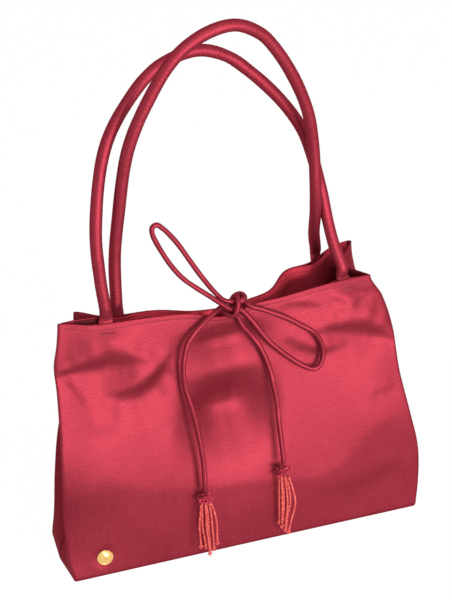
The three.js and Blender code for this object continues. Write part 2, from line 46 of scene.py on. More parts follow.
class Wire:
    """An output of one of a material's nodes. Python's operators on it add Math nodes."""

    def __init__(self, tree, socket=None):
        self.tree = tree
        self.socket = socket

    def node(self, kind, settings, values, output=0):
        made = self.tree.nodes.new(kind)
        for key, value in settings.items():
            setattr(made, key, value)
        for key, value in values.items():
            if isinstance(value, Wire):
                self.tree.links.new(value.socket, made.inputs[key])
            else:
                made.inputs[key].default_value = value
        return Wire(self.tree, made.outputs[output] if made.outputs else None)

    def maths(self, operation, first, second):
        return self.node("ShaderNodeMath", {"operation": operation}, {0: first, 1: second})

    def __add__(self, other):
        return self.maths("ADD", self, other)

    def __radd__(self, other):
        return self.maths("ADD", other, self)

    def __sub__(self, other):
        return self.maths("SUBTRACT", self, other)

    def __mul__(self, other):
        return self.maths("MULTIPLY", self, other)

    def tint(self, low, high):
        factor, first, second, mixed = 0, 6, 7, 2
        ends = {factor: self, first: (*low, 1.0), second: (*high, 1.0)}
        return self.node("ShaderNodeMix", {"data_type": "RGBA"}, ends, mixed)


def material(name):
    made = bpy.data.materials.new(name)
    made.use_nodes = True
    made.node_tree.nodes.clear()
    return made, Wire(made.node_tree)


def noise(place, scale, detail):
    return place.node("ShaderNodeTexNoise", {}, {"Vector": place, "Scale": scale, "Detail": detail})


def bumped(height, depth):
    """The normal of a surface with this height map, depth metres deep."""
    return height.node("ShaderNodeBump", {}, {"Distance": depth, "Height": height})


def surface(start, values):
    """Ends a material in a shader with these values."""
    shader = start.node("ShaderNodeBsdfPrincipled", {}, values)
    start.node("ShaderNodeOutputMaterial", {}, {"Surface": shader})


def seen_by_lens(start):
    camera_ray, glossy_ray, through_ray = 0, 3, 6
    camera, glossy, through = (
        start.node("ShaderNodeLightPath", {}, {}, ray) for ray in (camera_ray, glossy_ray, through_ray)
    )
    clamped = {"operation": "ADD", "use_clamp": True}
    return start.node("ShaderNodeMath", clamped, {0: camera + glossy, 1: through})


world = bpy.data.worlds.new("room")
world.use_nodes = True
world.node_tree.nodes.clear()
air = Wire(world.node_tree)
room_light, paper_light = 0.15, 1.02
white = (1, 1, 1, 1)
room = air.node("ShaderNodeBackground", {}, {"Color": white, "Strength": room_light})
paper = air.node("ShaderNodeBackground", {}, {"Color": white, "Strength": paper_light})
both = air.node("ShaderNodeMixShader", {}, {0: seen_by_lens(air), 1: room, 2: paper})
air.node("ShaderNodeOutputWorld", {}, {"Surface": both})
scene.world = world

bpy.ops.object.select_all(action="DESELECT")
floor_size, floor_drop = 12, 0.0006
bpy.ops.mesh.primitive_plane_add(size=floor_size, location=(0, 0, -floor_drop))
floor = bpy.context.object
floor.name = "floor"
floor_paint, start = material("floor_paper")
matt = start.node("ShaderNodeBsdfDiffuse", {}, {"Color": (0.85, 0.85, 0.85, 1)})
floor_glow, paper_share = 1.05, 0.94
glow = start.node("ShaderNodeEmission", {}, {"Color": white, "Strength": floor_glow})
shown = start.node("ShaderNodeMixShader", {}, {0: seen_by_lens(start) * paper_share, 1: matt, 2: glow})
start.node("ShaderNodeOutputMaterial", {}, {"Surface": shown})
floor.data.materials.append(floor_paint)

lens_azimuth, lens_elevation, lens_distance = math.radians(-22), math.radians(25), 1.36
looked_at = Vector((-0.0083, 0, 0.2133))


def around(azimuth, elevation, distance):
    level = math.cos(elevation)
    way = Vector((math.sin(azimuth) * level, -math.cos(azimuth) * level, math.sin(elevation)))
    return looked_at + way * distance, way.to_track_quat("Z", "Y").to_euler()


place, aim = around(lens_azimuth, lens_elevation, lens_distance)
bpy.ops.object.camera_add(location=place, rotation=aim)
camera = bpy.context.object
camera.data.lens = 100
camera.data.sensor_width = 36
scene.camera = camera

# Each lamp: azimuth and elevation in degrees, distance and size in metres, power in watts.
lamps = [
    ("key", 13, 5, 1.5, 0.6, 21.5),
    ("fill", -8, 42, 1.6, 1.0, 8),
]
for name, azimuth, elevation, distance, size, power in lamps:
    place, aim = around(math.radians(azimuth), math.radians(elevation), distance)
    bpy.ops.object.light_add(type="AREA", location=place, rotation=aim)
    lamp = bpy.context.object
    lamp.name = f"lamp_{name}"
    lamp.data.size = size
    lamp.data.energy = power

# The two walls: burgundy satin on stiff interfacing, cut as flat trapezoids, turned over at
# the rim and sewn to the gussets. Their lines are the same as the solids' lines, in mm, and
# the folds that the bag has fallen into are pushed in on top.
mm = 0.001


def smooth_rows(rows):
    """A smooth line through rows of (place, value, ...), for arrays of places."""
    rows = np.array(rows, float)
    places, values = rows[:, 0], rows[:, 1:]

    def line(place):
        place = np.clip(np.asarray(place, float), places[0], places[-1])
        k = np.clip(np.searchsorted(places, place, side="right") - 1, 0, len(places) - 2)
        before = np.where(k > 0, k - 1, k + 1)
        after = np.where(k + 2 < len(places), k + 2, k)
        t0, t1 = places[k], places[k + 1]
        half = (t1 - t0) / 2
        t_before = np.where(k > 0, places[np.maximum(k - 1, 0)], 2 * t0 - t1)
        last = len(places) - 1
        t_after = np.where(k + 2 <= last, places[np.minimum(k + 2, last)], 2 * t1 - t0)
        wb, wa = half / (t0 - t_before), half / (t_after - t1)
        p = (place - t0) / (t1 - t0)
        shares = (
            (before, -wb * p**3 + 2 * wb * p**2 - wb * p),
            (k, (1 + wb) * p**3 + (-1.5 - 2 * wb) * p**2 + (wb - 0.5) * p + 1),
            (k + 1, (-1 - wa) * p**3 + (1.5 + wa) * p**2 + 0.5 * p),
            (after, wa * p**3 - wa * p**2),
        )
        return sum(values[index] * share[..., None] for index, share in shares)

    return line


def mix(low, high, share):
    return low + (high - low) * share


def ease(value, low, high):
    share = np.clip((value - low) / (high - low), 0, 1)
    return share * share * (3 - 2 * share)


def unit(vectors):
    return vectors / np.linalg.norm(vectors, axis=-1, keepdims=True)


base_width, base_depth, rim_height = 314, 78, 218.5
satin, lining = 1.2, 0.8
facing_offset = 4.0
wall_stack = facing_offset + lining

front_rim = smooth_rows([
    (0, -4, 0), (0.1, -9, -3), (0.25, -13.5, -2.5), (0.4, -13, -6), (0.48, -10.5, -13.5),
    (0.54, -8.5, -15), (0.6, -9.5, -9), (0.7, -12, -5.5), (0.85, -13, 0), (1, -9.5, 0),
])
back_rim = smooth_rows([
    (0, 12.6, 0), (0.08, 8.9, -4), (0.25, 6.6, -4.5), (0.38, 2.6, -10), (0.49, 2, -12),
    (0.56, 3, -9), (0.64, 9, -6), (0.73, 32, -1.5), (0.82, 34, 1.5), (0.92, 46, 5), (1, 48.5, 7.5),
])
front_left_edge = smooth_rows([
    (0, 0, 0), (0.022, -1.2, 0.01), (0.08, -3.9, 0.09), (0.15, -5, 0.17), (0.26, -6, 0.2),
    (0.39, -6.3, 0.13), (0.52, -5.2, 0.21), (0.62, -3.3, 0.38), (0.76, -1.5, 0.66), (0.85, -1.5, 0.8),
    (0.92, 2.3, 0.895), (0.985, 4.7, 0.982), (1, 5, 1),
])
front_right_edge = smooth_rows([
    (0, 0, 0), (0.022, -0.1, 0), (0.12, -1.2, 0), (0.28, 0.8, 0), (0.44, 9.4, 0.05),
    (0.61, 17, 0.33), (0.8, 22, 0.64), (0.92, 29.6, 0.85), (1, 38.5, 1),
])
back_left_edge = smooth_rows([
    (0, 3, 0), (0.022, 3.2, 0), (0.08, 5.6, -0.08), (0.26, 9, -0.18), (0.43, 12, -0.08),
    (0.6, 16, 0.25), (0.8, 20, 0.62), (1, 23.5, 1),
])
back_right_edge = smooth_rows([
    (0, 0, 0), (0.022, 0, 0), (0.3, 1, 0.3), (0.5, 8, 0.6), (0.75, 17, 0.9), (1, 30, 1),
])
front_middle = smooth_rows([
    (0, 0), (0.022, -0.01), (0.18, -0.05), (0.32, -0.05), (0.39, -0.03), (0.44, 0.04), (0.57, 0.28),
    (0.73, 0.59), (0.88, 0.83), (0.97, 0.957), (0.995, 0.993), (1, 1),
])
back_middle = smooth_rows([
    (0, 0), (0.022, 0), (0.2, -0.06), (0.4, 0.02), (0.6, 0.28), (0.8, 0.66), (1, 1),
])

# Where the front stops standing straight and starts to lean back: (share of the width,
# share of the height).
front_break = smooth_rows([
    (0, 0.41), (0.12, 0.42), (0.2, 0.37), (0.3, 0.335), (0.5, 0.31), (0.72, 0.27),
    (0.8, 0.33), (0.88, 0.42), (1, 0.45),
])


usual_break, left_reach, right_reach = 0.4, 30, 40


def big_panel(side, left_edge, right_edge, middle, rim, turning=None):
    """A wall's outer face at shares u of its width and v of its height, in mm."""

    def face(u, v):
        u, v = np.broadcast_arrays(np.asarray(u, float), np.asarray(v, float))
        bent = v
        if turning is not None:
            at = turning(u)[..., 0]
            above = usual_break + (v - at) * (1 - usual_break) / (1 - at)
            bent = np.where(v < at, v * usual_break / at, above)
        left_inset, left_lean = np.moveaxis(left_edge(v), -1, 0)
        right_inset, right_lean = np.moveaxis(right_edge(v), -1, 0)
        middle_lean = middle(bent)[..., 0]
        by_left = np.exp(-u * base_width / left_reach) * (1 - u)
        by_right = np.exp(-(1 - u) * base_width / right_reach) * u
        lean = middle_lean + by_left * (left_lean - middle_lean) + by_right * (right_lean - middle_lean)
        rim_y, rise = np.moveaxis(rim(u), -1, 0)
        x = mix(left_inset - base_width / 2, base_width / 2 - right_inset, u)
        return np.stack([x, mix(side * base_depth / 2, rim_y, lean), v * (rim_height + v * rise)], -1)

    return face


front_inset = front_left_edge(1.0)[0]
front_rim_width = base_width - front_inset - front_right_edge(1.0)[0]
back_inset = back_left_edge(1.0)[0]
back_rim_width = base_width - back_inset - back_right_edge(1.0)[0]


def back_rim_place(u):
    gap, rise = np.moveaxis(back_rim(u), -1, 0)
    x = back_inset + u * back_rim_width - front_inset
    front_y = front_rim(np.clip(x / front_rim_width, 0, 1))[..., 0]
    return np.stack([front_y + 2 * wall_stack + gap, rise], -1)


front_face = big_panel(-1, front_left_edge, front_right_edge, front_middle, front_rim, front_break)
back_face = big_panel(1, back_left_edge, back_right_edge, back_middle, back_rim_place)


def inwards(face, u, v, turn, step=0.012):
    """The direction into the bag, square to a wall's face."""
    u, v = np.broadcast_arrays(np.asarray(u, float), np.asarray(v, float))
    across = face(np.minimum(u + step, 1), v) - face(np.maximum(u - step, 0), v)
    up = face(u, np.minimum(v + step, 1)) - face(u, np.maximum(v - step, 0))
    return unit(np.cross(across, up)) * -turn


fold_round, fold_end, fold_blend = 1.6, 5, 4


def fold_height(x, z, folds):
    """How far the cloth stands out, in mm. Each fold is a line of (x, z, half width, steepness)
    along which the cloth turns under: it swells above that line, and is hollow below."""
    out = np.zeros_like(x)
    for points in folds:
        swells, fars = [], []
        for (x0, z0, w0, s0), (x1, z1, w1, s1) in zip(points, points[1:]):
            run, climb = x1 - x0, z1 - z0
            long = math.hypot(run, climb)
            share = ((x - x0) * run + (z - z0) * climb) / long**2
            held = np.clip(share, 0, 1)
            width = mix(w0, w1, held)
            offset = ((z - z0) * run - (x - x0) * climb) / long
            beyond = (share - held) * long
            t = offset / width
            swell = t / (1 + (t / fold_round) ** 2) * np.exp(-((t / fold_end) ** 2))
            fade = np.exp(-((beyond / (width + 2)) ** 2) / 2)
            swells.append(mix(s0, s1, held) * width * swell * fade)
            fars.append(np.hypot(offset, beyond))
        shares = np.exp((np.min(fars, axis=0) - fars) / fold_blend)
        out += np.sum(shares * swells, axis=0) / np.sum(shares, axis=0)
    return out


front_folds = [
    [(-157, 180, 2, 0.62), (-151, 180.6, 3, 0.62), (-139, 183, 5, 0.62), (-126, 185, 8, 0.62),
     (-112, 187, 9.5, 0.62), (-99, 184.5, 7, 0.55), (-85, 181.5, 4, 0.32), (-79, 180, 3, 0)],
    [(-157, 177, 1.5, 0.25), (-147, 169.7, 2.5, 0.25), (-140.6, 160, 3.5, 0.16), (-137, 148, 4, 0)],
    [(-125, 161, 3, 0), (-117, 158.6, 5, 0.3), (-107, 156.8, 6.5, 0.56), (-95, 158, 8, 0.68),
     (-83, 163.5, 8.5, 0.68), (-73.5, 171.5, 6.5, 0.6), (-65.5, 181, 3, 0.2), (-62, 187, 2, 0)],
    [(56, 180, 2, 0), (68.8, 179.3, 3, 0.3), (79.3, 180.5, 5.5, 0.5), (93.7, 179.7, 7.5, 0.6),
     (108.2, 177, 8.5, 0.62), (121, 171.5, 7, 0.6), (132, 165, 3.5, 0.45), (136, 161, 2, 0.4)],
    [(34, 178, 3, 0), (42, 174.5, 4.5, 0.26), (51, 168.5, 5, 0.36), (62.4, 164, 4.5, 0.42),
     (74.5, 162, 4, 0.42), (87.5, 163.6, 3, 0.22), (97, 166, 2, 0)],
    [(32, 209, 3, 0), (42, 208, 3.5, 0.36), (55.4, 205.5, 4, 0.4), (66, 202.5, 3, 0.2), (72, 201, 2, 0)],
    [(76, 209, 2, 0), (84, 205.5, 3.5, 0.36), (91.5, 201, 3.5, 0.34), (98, 196, 2.5, 0)],
    [(97, 199, 1.2, 0), (104.7, 201.7, 1.8, 0.5), (111, 203, 1.8, 0.55), (117, 204.6, 1.2, 0.2)],
    [(80, 194, 3, 0), (88, 194.4, 3.5, 0.24), (97, 194, 3, 0.24), (104, 192, 2, 0)],
    [(108, 119, 3, 0), (116, 119.7, 4, 0.16), (127, 121, 4, 0.16), (136, 124, 3, 0)],
    [(-136, 130, 4, 0), (-131, 131, 5, 0.12), (-120, 132, 6, 0.12), (-112, 131, 4, 0)],
    [(-80, 148, 4, 0), (-72, 140, 5, 0.14), (-64, 130, 7, 0.14), (-54, 118, 5, 0.1), (-46, 108, 4, 0)],
    [(50, 42, 6, 0), (64, 39, 8, 0.1), (90, 34, 9, 0.1), (128, 46, 8, 0.1), (140, 52, 6, 0)],
]
back_folds = [
    [(-130, 174, 6, 0), (-112, 178, 6, 0.25), (-84, 184, 9, 0.25), (-56, 178, 6, 0.25),
     (-44, 172, 5, 0)],
    [(-34, 188, 7, 0), (-14, 185, 8, 0.3), (6, 182, 11, 0.3), (24, 188, 7, 0.3), (40, 194, 6, 0)],
    [(28, 158, 6, 0), (44, 161, 7, 0.22), (76, 168, 10, 0.22), (108, 159, 7, 0.22), (122, 154, 6, 0)],
    [(-76, 122, 9, 0), (-54, 118, 10, 0.15), (-10, 112, 13, 0.15), (38, 121, 9, 0.15), (56, 124, 8, 0)],
    [(-136, 78, 7, 0), (-120, 75, 8, 0.12), (-90, 70, 10, 0.12), (-64, 77, 7, 0.12), (-52, 80, 6, 0)],
]

# How far the front falls in between the two hanging cords, by height above the ground.
sunk = smooth_rows([
    (0, 0), (52, 0), (64, 0.4), (80, 2.6), (96, 7.2), (112, 12.8), (122, 16), (129, 16.6), (137, 14),
    (147, 8.6), (157, 3.8), (163, 3.1), (172, 4.8), (180, 7), (186, 6.8), (192, 3.8), (198, 0.9),
    (203, 0), (230, 0),
])


def back_relief(x, z, to_rim, kept=1, folds=back_folds):
    """How far a wall's cloth stands out of its plain line; kept is the folds' share."""
    return fold_height(x, z, folds) * ease(to_rim, 1, 14) * ease(z, 2, 16) * kept


def front_relief(x, z, to_rim, kept=1):
    hollow = sunk(z)[..., 0] * ease(x, -72, -20) * (1 - ease(x, -10, 38))
    return back_relief(x, z, to_rim, kept, front_folds) - hollow


stitch_depth, groove_depth, groove_width = 4.2, 0.12, 0.9
side_turn, foot_turn = 0.9, 1.6
bow_x, bow_reach, front_pleats = -12, 17, 0.08
stud_seat, stud_out = np.array([-130.8, -37.98, 18.01]), np.array([-0.082, -0.995, 0.054])


def draped(face, turn, relief, pleats):
    """A wall's outer face with its folds, its topstitching and its turned edges, in mm."""

    def shape(u, v):
        place = face(u, v)
        out = -inwards(face, u, v, turn)
        x, z = place[..., 0], place[..., 2]
        to_rim = (1 - v) * rim_height
        from_end = np.minimum(u, 1 - u) * base_width
        swell = relief(x, z, to_rim, mix(0.45, 1, ease(from_end, 0, 5)))
        groove = groove_depth * np.exp(-(((to_rim - stitch_depth) / groove_width) ** 2))
        at_side, at_foot = np.exp(-((from_end / side_turn) ** 2)), np.exp(-((z / foot_turn) ** 2))
        turned = side_turn * at_side + foot_turn * at_foot
        gathered = np.exp(-(((x - bow_x) / bow_reach) ** 2))
        gathered = gathered * ease(to_rim, stitch_depth, 9) * (1 - ease(to_rim, 10, 26))
        crimp = pleats * gathered * np.sin(x * 1.15 + 0.4 * np.sin(z * 0.3))
        bent = place + out * (swell + crimp - groove - turned)[..., None]
        off_stud = np.linalg.norm(bent - stud_seat, axis=-1)
        over = (bent - stud_seat) @ stud_out
        return bent - stud_out * (over * (1 - ease(off_stud, 7, 12)))[..., None]

    return shape


front_cloth = draped(front_face, 1, front_relief, front_pleats)
back_cloth = draped(back_face, -1, back_relief, 0)


def grid_piece(name, shape, us, vs, size, wrap=False):
    """A plain grid bent to shape(u, v), with its cloth measured in metres in its UV map."""
    bpy.ops.object.select_all(action="DESELECT")
    columns, rows = len(us) - 1, len(vs) - 1
    bpy.ops.mesh.primitive_grid_add(x_subdivisions=columns, y_subdivisions=rows, size=2)
    piece = bpy.context.object
    piece.name = piece.data.name = name
    count = (columns + 1) * (rows + 1)
    flat = np.empty(count * 3)
    piece.data.vertices.foreach_get("co", flat)
    flat = flat.reshape(-1, 3)
    i = np.rint((flat[:, 0] + 1) / 2 * columns).astype(int)
    j = np.rint((flat[:, 1] + 1) / 2 * rows).astype(int)
    u, v = np.asarray(us)[i], np.asarray(vs)[j]
    piece.data.vertices.foreach_set("co", (shape(u, v) * mm).ravel())
    loops = np.empty(len(piece.data.loops), dtype=int)
    piece.data.loops.foreach_get("vertex_index", loops)
    chart = np.stack([u[loops] * size[0], v[loops] * size[1]], -1) * mm
    piece.data.uv_layers[0].name = "cloth"
    piece.data.uv_layers[0].data.foreach_set("uv", chart.ravel())
    piece.data.update()
    if wrap:
        bpy.ops.object.mode_set(mode="EDIT")
        bpy.ops.mesh.select_all(action="SELECT")
        bpy.ops.mesh.remove_doubles(threshold=1e-7)
        bpy.ops.object.mode_set(mode="OBJECT")
    return piece


def pick(piece):
    bpy.ops.object.select_all(action="DESELECT")
    piece.select_set(True)
    bpy.context.view_layer.objects.active = piece


def give(piece, modifier, **settings):
    """Adds a modifier and applies it."""
    pick(piece)
    bpy.ops.object.modifier_add(type=modifier)
    made = piece.modifiers[-1]
    for key, value in settings.items():
        setattr(made, key, value)
    bpy.ops.object.modifier_apply(modifier=made.name)


def face_out(piece):
    """Turns all faces outwards."""
    pick(piece)
    bpy.ops.object.mode_set(mode="EDIT")
    bpy.ops.mesh.select_all(action="SELECT")
    bpy.ops.mesh.normals_make_consistent(inside=False)
    bpy.ops.object.mode_set(mode="OBJECT")


def finish_piece(piece, paint, replaced=(), smooth=50):
    """Stands a piece on the ground, gives it its finish and its body, and hides the solids it replaces.
    """
    for point in piece.data.vertices:
        point.co.z = max(point.co.z, 0)
    piece.data.materials.clear()
    piece.data.materials.append(paint)
    pick(piece)
    bpy.ops.object.shade_smooth_by_angle(angle=math.radians(smooth))
    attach(piece, "root")
    if replaced:
        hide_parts(*replaced)


def layer(name, shape, us, vs, width, thickness, offset, paint, node):
    """A sheet of cloth bent to shape(u, v), with its thickness, in the place of a node."""
    piece = grid_piece(name, shape, us, vs, (width, rim_height))
    give(piece, "SOLIDIFY", thickness=thickness * mm, offset=offset)
    face_out(piece)
    finish_piece(piece, paint, (node,))


def satin_paint(name, deep, bright, rough, metallic, across=650, along=38, relief=0.05):
    """Satin: long floats of thread that run along V, with fine slubs across them."""
    made, start = material(name)
    chart = start.node("ShaderNodeUVMap", {"uv_map": "cloth"}, {})

    def cloud(scale, detail, offset=0.0):
        mapping = {"Vector": chart, "Scale": scale, "Location": (offset, 0, 0)}
        moved = start.node("ShaderNodeMapping", {}, mapping)
        grain = {"Vector": moved, "Scale": 1.0, "Detail": detail, "Roughness": 0.6}
        return start.node("ShaderNodeTexNoise", {"noise_dimensions": "2D"}, grain)

    streak = cloud((across, along, 1), 2)
    slub = cloud((90, 420, 1), 2, 7.3)
    fine = cloud((2600, 900, 1), 1, 3.1)
    patch = cloud((26, 17, 1), 3, 11.7)
    tone = streak * 0.45 + slub * 0.25 + fine * 2.6 + patch * 0.4 - 1.35
    colour = tone.tint(deep, bright)
    gloss = rough - 0.06 + streak * 0.08 + patch * 0.05
    height = streak * 0.6 + slub * 0.25 + fine * 0.15
    bump = bumped(height, relief * mm)
    surface(start, {
        "Base Color": colour, "Roughness": gloss, "Metallic": metallic, "Normal": bump,
        "Specular IOR Level": 0.1, "Specular Tint": (0.75, 0.25, 0.35, 1),
    })
    return made


wall_paint = satin_paint("burgundy_satin", (0.182, 0.0144, 0.0245), (0.33, 0.037, 0.0565), 0.56, 0.92)
# The gussets take the walls' satin in a darker copy: painted shade, for the sides that turn away from the
# lamps.
shaded_gusset_paint = satin_paint("gusset_satin_painted_shade", (0.16, 0.012, 0.02), (0.3, 0.028, 0.044), 0.6, 0.7)
# The facings take the walls' satin in a much lighter copy: painted light, for the inside of the bag where
# little lamp light reaches.
lit_band_paint = satin_paint("satin_facing_painted_light", (0.45, 0.028, 0.048), (0.7, 0.056, 0.09), 0.5, 0.15)

# Rows of vertices, closer together at the rim, the foot and the sides, where the cloth turns.
rim_rows = (7, 6.2, 5.5, 5, 4.6, 4.2, 3.8, 3.4, 2.8, 2.1, 1.5, 1, 0.6, 0.3, 0)
fine_top = [1 - depth / rim_height for depth in rim_rows]
wall_up = [0, 0.0015, 0.003, 0.005, 0.0075, 0.011, 0.016, *np.linspace(0.024, 0.962, 118), *fine_top]
wall_across = [
    0, 0.001, 0.002, 0.0035, 0.006, *np.linspace(0.0105, 0.9895, 168), 0.994, 0.9965, 0.998, 0.999, 1,
]

for side, cloth_face in (("front", front_cloth), ("back", back_cloth)):
    panel = grid_piece(f"{side}_wall", cloth_face, wall_across, wall_up, (base_width, rim_height))
    if side == "back":
        bpy.ops.object.mode_set(mode="EDIT")
        bpy.ops.mesh.select_all(action="SELECT")
        bpy.ops.mesh.flip_normals()
        bpy.ops.object.mode_set(mode="OBJECT")
    give(panel, "SOLIDIFY", thickness=satin * mm, offset=-1)
    finish_piece(panel, wall_paint, (f"{side}_panel",))


# The facings: a band of the same satin inside each rim, painted much lighter than the walls as painted
# light for the dim inside. It lies against the wall at the turned edge, and stands off it where a
# handle's flat end is sewn in between.
front_roots = ((0.114, 0.166), (0.88, 0.934))
back_roots = ((0.098, 0.152), (0.813, 0.867))
facing_depth = 35


def behind(face, turn, relief, offset):
    """A sheet at offset(u, v) mm behind a wall's outer face, following its folds."""

    def shape(u, v):
        place = face(u, v)
        into = inwards(face, u, v, turn)
        swell = relief(place[..., 0], place[..., 2], (1 - v) * rim_height)
        return place + into * (offset(u, v) - swell)[..., None]

    return shape


def facing_gap(roots):
    """How far a facing lies behind its wall: close at the rim, and off it at the handles' ends."""

    def offset(u, v):
        held = np.zeros_like(u)
        for low, high in roots:
            held = np.maximum(held, 1 - ease(np.abs(u - (low + high) / 2) * base_width, 8, 17))
        to_rim = (1 - v) * rim_height
        closed = (1 - ease(to_rim, 0.5, 9)) * (1 - held)
        groove = 0.3 * np.exp(-(((to_rim - stitch_depth) / 0.7) ** 2))
        return facing_offset - closed * (facing_offset - satin - 0.15) + groove

    return offset


facing_share = 1 - facing_depth / rim_height
facing_up = [*np.linspace(facing_share, 0.962, 16), *[t - 0.0012 for t in fine_top]]
inner_across = np.linspace(0.016, 0.984, 120)
inner_up = np.linspace(0.034, facing_share + 0.004, 60)


def lining_gap(u, v):
    return np.full_like(u, facing_offset) + 0.5 * ease(v, facing_share - 0.03, facing_share)


lining_paint, start = material("dark_red_lining")
chart = start.node("ShaderNodeUVMap", {"uv_map": "cloth"}, {})
weave = {"Vector": chart, "Scale": 420, "Distortion": 1.5}
weave_u = start.node("ShaderNodeTexWave", {"bands_direction": "X"}, weave)
weave_v = start.node("ShaderNodeTexWave", {"bands_direction": "Y"}, weave)
wear = noise(chart, 60, 4)
bump = bumped(weave_u * weave_v, 0.04 * mm)
surface(start, {
    "Base Color": wear.tint((0.05, 0.004, 0.009), (0.13, 0.01, 0.02)), "Roughness": 0.6 + wear * 0.1,
    "Specular IOR Level": 0.1, "Normal": bump,
})

walls = (
    ("front", front_face, 1, front_relief, front_roots),
    ("back", back_face, -1, back_relief, back_roots),
)
for side, face, turn, relief, roots in walls:
    band_face = behind(face, turn, relief, facing_gap(roots))
    layer(f"{side}_band", band_face, inner_across, facing_up, base_width, lining, -turn, lit_band_paint,
          f"{side}_facing")
    inner_face = behind(face, turn, relief, lining_gap)
    layer(f"{side}_inner", inner_face, inner_across, inner_up, base_width, lining, -turn, lining_paint,
          f"{side}_lining")

# The side gussets: satin strips folded inwards along their middle like a bellows, sewn
# between the walls' side edges and the ends of the base, each with its own lining.
left_fold = smooth_rows([
    (0, -3), (0.03, -2.4), (0.07, 1.5), (0.12, 9), (0.23, 30), (0.5, 32), (0.75, 34), (1, 28),
])
right_fold = smooth_rows([(0, 0), (0.035, 0), (0.28, 3), (0.45, 10), (0.6, 17), (0.8, 23), (1, 25)])
fold_gap, fold_swell, wide_step, seam_gap = 1.8, 2.6, 0.03, 0.3
seam_set_back = satin + seam_gap + satin


def wall_y(face, x, v):
    left, right = face(0.0, v)[..., 0], face(1.0, v)[..., 0]
    return face(np.clip((x - left) / (right - left), 0, 1), v)[..., 1]


def gusset_face(end, fold):
    """A gusset's outer face at shares s across it, front to back, and v of its height, in mm."""
    u = 0.0 if end < 0 else 1.0

    def shape(s, v):
        s, v = np.broadcast_arrays(np.asarray(s, float), np.asarray(v, float))
        front = front_face(u, v) + inwards(front_face, u, v, 1, wide_step) * seam_set_back
        back = back_face(u, v) + inwards(back_face, u, v, -1, wide_step) * seam_set_back
        middle = (front + back) / 2
        apex = middle.copy()
        apex[..., 0] -= end * fold(v)[..., 0]
        between = (wall_y(front_face, apex[..., 0], v) + wall_y(back_face, apex[..., 0], v)) / 2
        apex[..., 1] = mix(middle[..., 1], between, ease(v, 0.5, 0.9))
        half = np.where(s < 0.5, -1.0, 1.0)
        seam = np.where((half < 0)[..., None], front, back)
        apex[..., 1] += half * fold_gap / 2
        share = np.minimum(np.where(half < 0, s, 1 - s) / 0.48, 1)
        place = seam + (apex - seam) * share[..., None]
        place[..., 1] -= half * fold_swell * 4 * share * (1 - share) * ease(v, 0.1, 0.5)
        wave = np.sin(v * 23 + s * 5) * 0.5 + np.sin(v * 41 - s * 9 + 2) * 0.3
        place[..., 0] += wave * 4 * share * (1 - share) * ease(v, 0.03, 0.15)
        return place

    return shape


round_fold = np.array([0, 0.012, *np.linspace(0.03, 0.46, 15), 0.48, 0.49, 0.5, 0.51, 0.52,
                       *np.linspace(0.54, 0.97, 15), 0.988, 1])
gusset_up = np.array([0, 0.002, 0.005, 0.01, 0.016, *np.linspace(0.025, 0.97, 84), 0.985, 0.994, 1])
gusset_width = 84
for side, end, fold in (("left", -1, left_fold), ("right", 1, right_fold)):
    face = gusset_face(end, fold)
    layer(f"{side}_bellows", face, round_fold, gusset_up, gusset_width, satin, -end, shaded_gusset_paint,
          f"{side}_gusset")

    def lined(s, v, face=face, end=end):
        return face(s, v) + inwards(face, s, v, end, wide_step) * (satin + seam_gap)

    across, up = np.linspace(0.2, 0.8, 33), np.linspace(0.036, 0.995, 60)
    layer(f"{side}_bellows_lining", lined, across, up, gusset_width, lining, -end, lining_paint,
          f"{side}_gusset_lining")

# The base: a satin panel turned over a board, with a lining laid over the board. The walls
# and gussets are sewn round it, and the bag stands on it.
board_thickness, base_corner, end_clearance = 2.0, 6.0, 1.0
board_foot = satin + seam_gap


def base_plate(name, inset, foot, thickness, edge):
    """A plate with round corners, its rim eased by edge."""
    bpy.ops.object.select_all(action="DESELECT")
    wide, deep = base_width - 2 * inset - 2 * end_clearance, base_depth - 2 * inset
    bpy.ops.mesh.primitive_cube_add(size=1)
    plate = bpy.context.object
    plate.name = plate.data.name = name
    bpy.ops.object.mode_set(mode="EDIT")
    bpy.ops.transform.resize(value=(wide * mm, deep * mm, thickness * mm))
    bpy.ops.transform.translate(value=(0, 0, (foot + thickness / 2) * mm))
    bpy.ops.mesh.select_all(action="DESELECT")
    bpy.ops.object.mode_set(mode="OBJECT")
    for line in plate.data.edges:
        low, high = (plate.data.vertices[k].co.z for k in line.vertices)
        line.select = abs(low - high) > thickness * mm / 2
    bpy.ops.object.mode_set(mode="EDIT")
    bpy.ops.mesh.select_mode(type="EDGE")
    bpy.ops.mesh.bevel(offset=base_corner * mm, segments=6, profile=0.5)
    bpy.ops.mesh.select_all(action="SELECT")
    bpy.ops.mesh.dissolve_limited(angle_limit=0.02)
    bpy.ops.object.mode_set(mode="OBJECT")
    give(plate, "BEVEL", width=edge * mm, segments=3, limit_method="ANGLE", angle_limit=math.radians(60))
    chart = np.array([plate.data.vertices[loop.vertex_index].co[:2] for loop in plate.data.loops])
    plate.data.uv_layers[0].name = "cloth"
    plate.data.uv_layers[0].data.foreach_set("uv", chart.ravel())
    return plate


base_under = base_plate("base_under", satin + 2 * seam_gap, 0, satin, 0.5)
finish_piece(base_under, wall_paint, ("base_panel",))
inner_foot = board_foot + board_thickness + seam_gap
base_inner = base_plate("base_inner", wall_stack - lining, inner_foot, lining, 0.3)
finish_piece(base_inner, lining_paint, ("base_lining",))

object_output = 3
board_paint, start = material("grey_board")
spot = start.node("ShaderNodeTexCoord", {}, {}, object_output)
fibre, patch = noise(spot, 900, 5), noise(spot, 40, 3)
bump = bumped(fibre, 0.08 * mm)
tone = fibre * 0.5 + patch * 0.5
surface(start, {
    "Base Color": tone.tint((0.2, 0.15, 0.1), (0.36, 0.29, 0.2)), "Roughness": 0.88, "Normal": bump,
})
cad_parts["base_board"].data.materials.clear()
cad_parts["base_board"].data.materials.append(board_paint)

